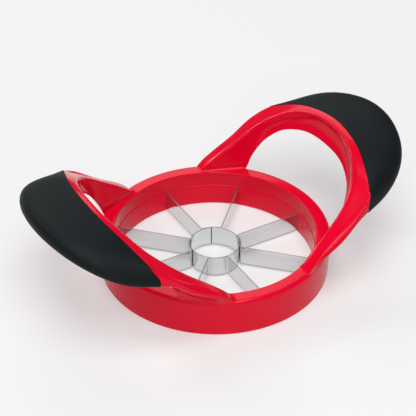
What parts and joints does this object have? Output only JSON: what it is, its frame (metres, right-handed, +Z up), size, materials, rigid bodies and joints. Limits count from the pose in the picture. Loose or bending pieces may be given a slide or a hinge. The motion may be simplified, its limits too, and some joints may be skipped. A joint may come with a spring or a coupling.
{
  "type": "apple slicer",
  "caption": "Hand-pressed apple slicer and corer: a plastic ring with two arched handles and soft grips, holding steel blades that run from a core tube to the ring's wall.",
  "frame": {"origin": "centre of the ring, on the plane of the ring's lower edge that the part stands on", "axes": "+X from the ring's centre to one handle's tip, +Y across the handles, +Z up, from the cutting side towards the grips"},
  "size_m": [0.1904, 0.1128, 0.0622],
  "materials": {
    "red_plastic": "glossy moulded plastic, red right through",
    "soft_grip": "matte charcoal-black soft-touch elastomer",
    "steel": "cold-rolled stainless strip with a satin face and a ground lower edge"
  },
  "bodies": {
    "root": {"body": "red_plastic", "blade_carrier": "red_plastic", "core_tube": "steel", "blade_strip_1": "steel", "blade_strip_2": "steel", "blade_strip_3": "steel", "blade_strip_4": "steel", "grip_right": "soft_grip", "grip_left": "soft_grip"}
  },
  "joints": []
}
